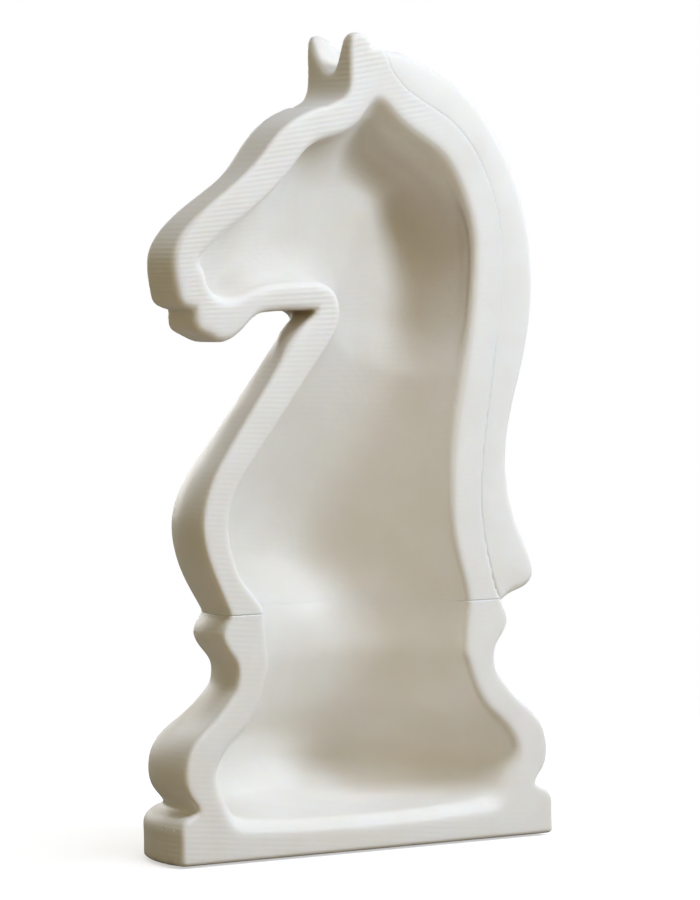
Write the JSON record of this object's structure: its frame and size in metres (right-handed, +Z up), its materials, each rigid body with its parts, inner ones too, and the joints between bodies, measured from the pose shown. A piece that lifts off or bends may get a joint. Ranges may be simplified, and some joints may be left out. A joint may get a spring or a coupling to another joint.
{
  "type": "giant chess piece",
  "caption": "Open-backed half of a giant lawn-chess knight: turned pedestal, hollow horse head with mane, and a fillable ballast chamber in the plinth",
  "frame": {"origin": "on the ground, under the axis of the turned base, in the plane of the open rim", "axes": "+Z up; -Y is the open side and the rim lies in y = 0; the horse looks towards -X and the mane is towards +X"},
  "size_m": [0.2412, 0.1205, 0.4306],
  "materials": {
    "ivory_plastic": "satin, slightly translucent, fine level layer lines",
    "plate_plastic": "fine moulded grain",
    "plug_plastic": "satin, turned",
    "pin_steel": "ground",
    "screw_steel": "stainless, plain",
    "insert_brass": "plain",
    "gasket_rubber": "matt sheet",
    "foot_rubber": "matt, fine grain",
    "seal_rubber": "smooth"
  },
  "bodies": {
    "shell": {"pedestal_shell": "ivory_plastic", "head_neck_shell": "ivory_plastic", "mane_crest": "ivory_plastic", "collar_pins": "pin_steel", "mane_pins": "pin_steel", "base_plate": "plate_plastic", "base_gasket": "gasket_rubber", "threaded_inserts": "insert_brass", "base_plate_screws": "screw_steel", "foot_pads": "foot_rubber"},
    "plug_travel": {"plug_seal": "seal_rubber"},
    "plug": {"filler_plug": "plug_plastic"}
  },
  "joints": [
    {"name": "plug_slide", "type": "slide", "parent": "shell", "child": "plug_travel", "axis": [0, 1, 0], "range_m": [0, 0.01]},
    {"name": "plug_turn", "type": "hinge", "parent": "plug_travel", "child": "plug", "pos_m": [0, 0.1164, 0.0116], "axis": [0, 1, 0], "range_deg": [0, 1800]}
  ],
  "couplings": [
    {"joint": "plug_turn", "follows": "plug_slide", "rad_per_m": 3141.6}
  ]
}
